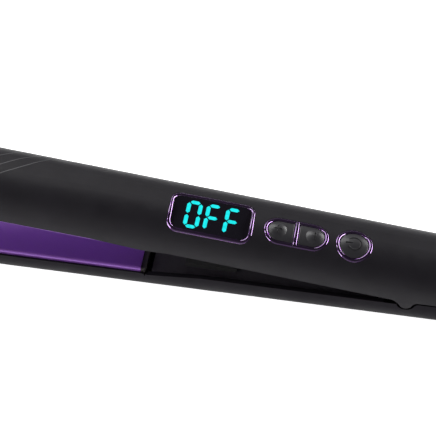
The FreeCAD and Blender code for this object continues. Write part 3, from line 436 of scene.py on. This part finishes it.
def pinstripe(name, first, middle, last):
    """A thin raised line on the casing, narrower towards its ends."""
    line = arc_through(first, middle, last, STRIPE_POINTS)
    along = np.gradient(line, axis=0)
    along /= np.linalg.norm(along, axis=1)[:, None]
    beside = np.stack([-along[:, 1], along[:, 0]], axis=1)
    taper = np.sin(np.linspace(0, math.pi, len(line))) ** STRIPE_TAPER
    rows = []
    for spot, out, share in zip(line, beside, taper):
        half = max(STRIPE_HALF * share, STRIPE_POINT)
        left, right = spot - out * half, spot + out * half
        rows.append([
            casing_point(*left, -STRIPE_PROUD), casing_point(*left, STRIPE_EDGE),
            casing_point(*spot, STRIPE_PROUD), casing_point(*right, STRIPE_EDGE),
            casing_point(*right, -STRIPE_PROUD),
        ])
    count = len(rows[0])
    faces = loop_faces(len(rows), count, False) + end_faces(len(rows), count)
    mesh_piece(name, to_row(np.concatenate(rows), ARM), faces, "upper_arm", "casing", 60)


for name, places in PINSTRIPES.items():
    pinstripe(name, *places)

# ---------------------------------------------------------------- finishes


# The span in which nearly all of a noise pattern's values lie.
NOISE_LOW = 0.3
NOISE_HIGH = 0.7

# The seam at the hinge, painted near-black as shade where the gap between the arms is dark: where it starts, its
# lowest place, how far its faces may turn, and the painted shade's colour.
SEAM_START = PIVOT.x - 6 * MM
SEAM_BOTTOM = PIVOT.z - 3.2 * MM
SEAM_TURN = 0.25
SEAM_SHADE_BLACK = (0.0004, 0.0004, 0.0004)


def surface(name, colour, roughness, **sockets):
    """A material whose shader sockets are set to plain values. Returns it with its shader node."""
    material = bpy.data.materials.new(name)
    material.use_nodes = True
    shader = material.node_tree.nodes["Principled BSDF"]
    shader.inputs["Base Color"].default_value = (*colour, 1)
    shader.inputs["Roughness"].default_value = roughness
    for socket, value in sockets.items():
        shader.inputs[socket.replace("_", " ")].default_value = value
    return material, shader


def noise(material, size, detail=2.0, stretch=(1, 1, 1)):
    """Noise with patches about size millimetres across, fixed to the object. Returns its value socket."""
    nodes, links = material.node_tree.nodes, material.node_tree.links
    place = nodes.new("ShaderNodeTexCoord")
    mapping = nodes.new("ShaderNodeMapping")
    mapping.inputs["Scale"].default_value = [1 / (size * MM * factor) for factor in stretch]
    pattern = nodes.new("ShaderNodeTexNoise")
    pattern.inputs["Scale"].default_value = 1.0
    pattern.inputs["Detail"].default_value = detail
    links.new(place.outputs["Object"], mapping.inputs["Vector"])
    links.new(mapping.outputs["Vector"], pattern.inputs["Vector"])
    return pattern.outputs["Fac"]


def spread(material, value, socket, low, high):
    """Feed a pattern to a number socket, stretched from low to high over the pattern's usual span."""
    nodes, links = material.node_tree.nodes, material.node_tree.links
    span = nodes.new("ShaderNodeMapRange")
    span.inputs["From Min"].default_value = NOISE_LOW
    span.inputs["From Max"].default_value = NOISE_HIGH
    span.inputs["To Min"].default_value = low
    span.inputs["To Max"].default_value = high
    links.new(value, span.inputs["Value"])
    links.new(span.outputs["Result"], socket)


def blend_colours(material, value, socket, first, second):
    """Feed a colour socket with two colours mixed by a pattern."""
    nodes, links = material.node_tree.nodes, material.node_tree.links
    span = nodes.new("ShaderNodeMapRange")
    span.inputs["From Min"].default_value = NOISE_LOW
    span.inputs["From Max"].default_value = NOISE_HIGH
    mix = nodes.new("ShaderNodeMix")
    mix.data_type = "RGBA"
    mix.inputs["A"].default_value = (*first, 1)
    mix.inputs["B"].default_value = (*second, 1)
    links.new(value, span.inputs["Value"])
    links.new(span.outputs["Result"], mix.inputs["Factor"])
    links.new(mix.outputs["Result"], socket)


def grain(material, shader, value, height):
    """Raise the surface by a pattern, height millimetres from its lowest to its highest."""
    nodes, links = material.node_tree.nodes, material.node_tree.links
    bump = nodes.new("ShaderNodeBump")
    bump.inputs["Strength"].default_value = 1.0
    bump.inputs["Distance"].default_value = height * MM
    links.new(value, bump.inputs["Height"])
    links.new(bump.outputs["Normal"], shader.inputs["Normal"])


def paint_seam_shade(material, shader, start, bottom):
    """Painted shade: a near-black colour on the faces of the seam between the arms, behind start and above bottom,
    where the gap lies in shade.

    The seam's faces run across the arm, so their normals have little of Y in them.
    """
    nodes, links = material.node_tree.nodes, material.node_tree.links
    place = nodes.new("ShaderNodeTexCoord")
    spot = nodes.new("ShaderNodeSeparateXYZ")
    facing = nodes.new("ShaderNodeSeparateXYZ")
    links.new(place.outputs["Object"], spot.inputs["Vector"])
    links.new(place.outputs["Normal"], facing.inputs["Vector"])

    def step(operation, first, second):
        node = nodes.new("ShaderNodeMath")
        node.operation = operation
        links.new(first, node.inputs[0])
        if isinstance(second, float):
            node.inputs[1].default_value = second
        else:
            links.new(second, node.inputs[1])
        return node.outputs["Value"]

    level = step("LESS_THAN", step("MULTIPLY", facing.outputs["Y"], facing.outputs["Y"]), SEAM_TURN)
    behind = step("GREATER_THAN", spot.outputs["X"], start)
    above = step("GREATER_THAN", spot.outputs["Z"], bottom)
    # Painted shade: the seam's faces take a near-black colour in place of the paint.
    mix = nodes.new("ShaderNodeMix")
    mix.data_type = "RGBA"
    mix.inputs["B"].default_value = (*SEAM_SHADE_BLACK, 1)
    socket = shader.inputs["Base Color"]
    links.new(step("MULTIPLY", step("MULTIPLY", level, behind), above), mix.inputs["Factor"])
    links.new(socket.links[0].from_socket, mix.inputs["A"])
    links.new(mix.outputs["Result"], socket)


def casing_finish(name, shade, gloss, seam=None):
    """Soft-touch paint over plastic: a velvety black with a fine grain and faint cloudy patches.

    If a seam is given, its faces are painted near-black as shade behind an X and above a Z, both in metres of the
    row frame.
    """
    material, shader = surface(name, (shade, shade, shade), 0.5, Specular_IOR_Level=gloss)
    low = (shade * 0.85, shade * 0.72, shade)
    high = (shade * 1.1, shade * 0.95, shade * 1.3)
    blend_colours(material, noise(material, 9, 3), shader.inputs["Base Color"], low, high)
    spread(material, noise(material, 5, 4), shader.inputs["Roughness"], 0.45, 0.55)
    grain(material, shader, noise(material, 0.16, 3), 0.006)
    if seam:
        # Paint the hinge seam's faces near-black as shade.
        paint_seam_shade(material, shader, *seam)
    return material


def cover_finish():
    """Moulded black plastic with an eroded texture."""
    material, shader = surface("moulded_black", (0.036, 0.031, 0.04), 0.6, Specular_IOR_Level=0.4)
    spread(material, noise(material, 2.5, 3), shader.inputs["Roughness"], 0.55, 0.68)
    grain(material, shader, noise(material, 0.22, 3), 0.012)
    return material


def plate_finish():
    """Purple ceramic glaze over aluminium: faint mineral clouds under a smooth, slightly wavy surface."""
    material, shader = surface(
        "purple_ceramic", (0.215, 0.08, 0.375), 0.3, Metallic=0.4, Coat_Weight=0.35, Coat_Roughness=0.12
    )
    glaze = noise(material, 0.25, 2)
    blend_colours(material, glaze, shader.inputs["Base Color"], (0.205, 0.074, 0.36), (0.225, 0.084, 0.39))
    spread(material, noise(material, 14, 2, (1, 0.35, 1)), shader.inputs["Roughness"], 0.28, 0.32)
    grain(material, shader, noise(material, 0.25, 2), 0.001)
    return material


def carrier_finish():
    """Glass-filled, heat-proof plastic: dark grey-brown with short fibres along the flow."""
    material, shader = surface("heat_proof_plastic", (0.03, 0.026, 0.025), 0.6, Specular_IOR_Level=0.4)
    fibres = noise(material, 0.2, 3, (6, 1, 1))
    blend_colours(material, fibres, shader.inputs["Base Color"], (0.024, 0.021, 0.02), (0.036, 0.031, 0.03))
    spread(material, fibres, shader.inputs["Roughness"], 0.55, 0.68)
    grain(material, shader, fibres, 0.008)
    return material


def trim_finish():
    """Purple plated trim: nearly a mirror, with the soft orange-peel of plated plastic."""
    material, shader = surface(
        "purple_plating", (0.11, 0.012, 0.18), 0.14,
        Metallic=1.0, Coat_Weight=0.9, Coat_Roughness=0.04, Coat_IOR=2.3,
    )
    spread(material, noise(material, 1.2, 2), shader.inputs["Roughness"], 0.12, 0.18)
    grain(material, shader, noise(material, 0.9, 1), 0.002)
    return material


def window_finish():
    """Polished dark acrylic with faint wiping marks."""
    material, shader = surface("dark_window", (0.008, 0.007, 0.0105), 0.05, Specular_IOR_Level=0.35)
    spread(material, noise(material, 3, 3, (1, 0.4, 1)), shader.inputs["Roughness"], 0.04, 0.09)
    return material


def segment_finish():
    """Cyan light behind the window, a little stronger in patches as a diffuser makes it."""
    material, shader = surface(
        "lit_segment", (0.002, 0.02, 0.02), 0.06, Emission_Strength=1.0, Coat_Weight=0.3
    )
    glow = shader.inputs["Emission Color"]
    blend_colours(material, noise(material, 1.1, 1), glow, (0.004, 0.78, 0.8), (0.02, 0.95, 0.97))
    return material


def button_finish():
    """Satin black plastic, smoother than the casing round it."""
    material, shader = surface("satin_black", (0.02, 0.019, 0.022), 0.38, Specular_IOR_Level=0.7)
    spread(material, noise(material, 1.6, 3), shader.inputs["Roughness"], 0.34, 0.42)
    grain(material, shader, noise(material, 0.12, 2), 0.003)
    return material


def ceramic_finish():
    """Unglazed alumina."""
    material, shader = surface("alumina", (0.78, 0.76, 0.71), 0.7)
    base = shader.inputs["Base Color"]
    blend_colours(material, noise(material, 1.2, 4), base, (0.7, 0.68, 0.62), (0.82, 0.8, 0.76))
    grain(material, shader, noise(material, 0.15, 4), 0.02)
    return material


def steel_finish():
    """Bright steel with fine drawing marks."""
    material, shader = surface("drawn_steel", (0.56, 0.56, 0.58), 0.3, Metallic=1.0)
    marks = noise(material, 0.08, 2, (12, 1, 1))
    spread(material, marks, shader.inputs["Roughness"], 0.22, 0.42)
    grain(material, shader, marks, 0.003)
    return material


def board_finish():
    """Green solder resist over glass cloth."""
    material, shader = surface("solder_resist", (0.01, 0.09, 0.035), 0.4, Coat_Weight=0.4)
    weave = noise(material, 0.5, 1, (1, 3, 1))
    blend_colours(material, weave, shader.inputs["Base Color"], (0.008, 0.075, 0.028), (0.014, 0.12, 0.05))
    grain(material, shader, weave, 0.004)
    return material


def component_finish():
    """Black epoxy of electronic parts."""
    material, shader = surface("epoxy_black", (0.015, 0.015, 0.016), 0.5)
    spread(material, noise(material, 0.4, 3), shader.inputs["Roughness"], 0.42, 0.62)
    grain(material, shader, noise(material, 0.1, 2), 0.01)
    return material


def sleeve_finish():
    """Black glass-fibre sleeving of the heater leads, a faint braid along it."""
    material, shader = surface("glass_sleeve", (0.012, 0.012, 0.013), 0.7, Specular_IOR_Level=0.3)
    braid = noise(material, 0.25, 2, (1, 2, 2))
    spread(material, braid, shader.inputs["Roughness"], 0.6, 0.8)
    grain(material, shader, braid, 0.02)
    return material


def wire_finish():
    """Red silicone insulation with a dusty bloom."""
    material, shader = surface("silicone_red", (0.42, 0.03, 0.02), 0.5, Sheen_Weight=0.2)
    base = shader.inputs["Base Color"]
    blend_colours(material, noise(material, 2, 3), base, (0.38, 0.025, 0.018), (0.48, 0.045, 0.03))
    grain(material, shader, noise(material, 0.2, 2), 0.01)
    return material


def rubber_finish():
    """Matt black rubber."""
    material, shader = surface(
        "black_rubber", (0.014, 0.0135, 0.014), 0.75, Specular_IOR_Level=0.3, Sheen_Weight=0.15
    )
    spread(material, noise(material, 1.5, 3), shader.inputs["Roughness"], 0.68, 0.85)
    grain(material, shader, noise(material, 0.18, 3), 0.015)
    return material


def nylon_finish():
    """Natural nylon, slightly waxy."""
    material, shader = surface(
        "natural_nylon", (0.72, 0.7, 0.63), 0.45, Subsurface_Weight=0.1, Subsurface_Scale=MM
    )
    spread(material, noise(material, 0.8, 2), shader.inputs["Roughness"], 0.38, 0.55)
    return material


def stripe_finish():
    """The pinstripes' smoother, slightly lighter paint."""
    material, shader = surface("stripe_paint", (0.06, 0.058, 0.064), 0.38, Specular_IOR_Level=0.5)
    spread(material, noise(material, 1.0, 2), shader.inputs["Roughness"], 0.32, 0.45)
    return material


FINISHES = {
    "casing": casing_finish("soft_touch", 0.0095, 0.26),
    "cover": cover_finish(),
    "plate": plate_finish(),
    "carrier": carrier_finish(),
    "ceramic": ceramic_finish(),
    "steel": steel_finish(),
    "trim": trim_finish(),
    "window": window_finish(),
    "segment": segment_finish(),
    "button": button_finish(),
    "board": board_finish(),
    "component": component_finish(),
    "wire": wire_finish(),
    "sleeve": sleeve_finish(),
    "rubber": rubber_finish(),
    "nylon": nylon_finish(),
}
# Painted shade: the lower arm's copy of the soft-touch paint is darker and far less glossy than the upper arm's,
# as the same paint lies in more shade there. It also carries the hinge seam's painted shade.
SHADED_LOWER_CASING = casing_finish("soft_touch_lower_shaded", 0.009, 0.05, (SEAM_START, SEAM_BOTTOM))
STRIPE_PAINT = stripe_finish()


def dress(piece, material):
    """Give a piece one material."""
    piece.data.materials.clear()
    piece.data.materials.append(material)


for subpart in frame["record"]["subparts"]:
    dress(frame["nodes"][subpart["node"]], FINISHES[subpart["material_slot"]])
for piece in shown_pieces():
    if "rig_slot" in piece:
        dress(piece, FINISHES[piece["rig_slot"]])
# The lower shell and tip cap take the painted-shade copy of the casing finish.
for node in ("lower_shell", "lower_tip_cap"):
    dress(frame["nodes"][node], SHADED_LOWER_CASING)
for name in PINSTRIPES:
    dress(bpy.data.objects[name], STRIPE_PAINT)

# ---------------------------------------------------------------- floor, light and camera

# Sizes and places in this section are metres, and angles are degrees.
FLOOR_SIZE = 8.0
TARGET = Vector((0.006108, 0.0, 0.021559))
CAMERA_ELEVATION = 41.136
CAMERA_AZIMUTH = 4.623
CAMERA_ROLL = 4.341
CAMERA_DISTANCE = 0.6
VIEW_WIDE = 0.12208
SENSOR = 36.0

# Light from the room: its colour, the heights between which its strength falls and the two strengths, and
# the strengths' factors on the -X side and on the +X side.
ROOM_COLOUR = (0.95, 0.95, 1.0)
ROOM_HEIGHTS = (0.3, 0.8)
ROOM_STRENGTHS = (0.4, 0.08)
ROOM_SIDES = (1.3, 0.15)

# Softboxes: azimuth, elevation, distance, width, height and radiance, which is how bright each looks.
SOFTBOXES = {
    "front_left_light": (-48, 18, 0.4, 0.32, 0.1, 6.0),
    "rear_right_light": (118, 26, 1.2, 1.5, 0.26, 11.0),
    "left_light": (-80, 46, 1.2, 0.25, 0.25, 8.0),
    "rear_left_light": (-140, 46, 1.2, 1.0, 0.7, 3.4),
}


def direction(azimuth, elevation):
    """Unit vector towards a place round the object: azimuth 0 is on the -Y side, 90 on the +X side."""
    a, e = math.radians(azimuth), math.radians(elevation)
    return Vector((math.sin(a) * math.cos(e), -math.cos(a) * math.cos(e), math.sin(e)))


def floor():
    """A pale floor that glows a little, as white paper lit from all round does."""
    bpy.ops.mesh.primitive_plane_add(size=FLOOR_SIZE, location=(0, 0, 0))
    plane = bpy.context.object
    plane.name = "floor"
    material, _ = surface(
        "white_paper", (0.8, 0.8, 0.8), 0.9,
        Specular_IOR_Level=0.1, Emission_Strength=0.95, Emission_Color=(1, 1, 1, 1),
    )
    dress(plane, material)


def softbox(name, azimuth, elevation, distance, wide, high, radiance):
    """A rectangular light that faces the object."""
    light = bpy.data.lights.new(name, "AREA")
    light.shape = "RECTANGLE"
    light.size = wide
    light.size_y = high
    light.energy = radiance * math.pi * wide * high
    lamp = bpy.data.objects.new(name, light)
    away = direction(azimuth, elevation)
    lamp.location = TARGET + away * distance
    lamp.rotation_euler = away.to_track_quat("Z", "Y").to_euler()
    bpy.context.scene.collection.objects.link(lamp)


def graded(nodes, source, starts, results):
    """A number socket's value, carried from one span to another."""
    grade = nodes.new("ShaderNodeMapRange")
    grade.inputs["From Min"].default_value, grade.inputs["From Max"].default_value = starts
    grade.inputs["To Min"].default_value, grade.inputs["To Max"].default_value = results
    grade.id_data.links.new(source, grade.inputs["Value"])
    return grade.outputs["Result"]


def studio():
    """A dim room, darker overhead and towards +X, with softboxes round it."""
    world = bpy.data.worlds.new("studio")
    world.use_nodes = True
    nodes, links = world.node_tree.nodes, world.node_tree.links
    background = nodes["Background"]
    background.inputs["Color"].default_value = (*ROOM_COLOUR, 1)
    place = nodes.new("ShaderNodeTexCoord")
    parts = nodes.new("ShaderNodeSeparateXYZ")
    links.new(place.outputs["Generated"], parts.inputs["Vector"])
    product = nodes.new("ShaderNodeMath")
    product.operation = "MULTIPLY"
    links.new(graded(nodes, parts.outputs["Z"], ROOM_HEIGHTS, ROOM_STRENGTHS), product.inputs[0])
    links.new(graded(nodes, parts.outputs["X"], (-1, 1), ROOM_SIDES), product.inputs[1])
    links.new(product.outputs["Value"], background.inputs["Strength"])
    bpy.context.scene.world = world
    bpy.context.scene.view_settings.view_transform = "Standard"
    for name, values in SOFTBOXES.items():
        softbox(name, *values)


def camera():
    """The camera above the -Y side, with the picture turned a little clockwise."""
    data = bpy.data.cameras.new("camera")
    data.sensor_width = SENSOR
    data.lens = SENSOR * CAMERA_DISTANCE / VIEW_WIDE
    data.clip_start = 0.01
    eye = bpy.data.objects.new("camera", data)
    back = direction(CAMERA_AZIMUTH, CAMERA_ELEVATION)
    turn = back.to_track_quat("Z", "Y")
    eye.matrix_world = (
        Matrix.Translation(TARGET + back * CAMERA_DISTANCE) @ turn.to_matrix().to_4x4()
        @ Matrix.Rotation(math.radians(CAMERA_ROLL), 4, "Z")
    )
    bpy.context.scene.collection.objects.link(eye)
    bpy.context.scene.camera = eye


floor()
studio()
camera()
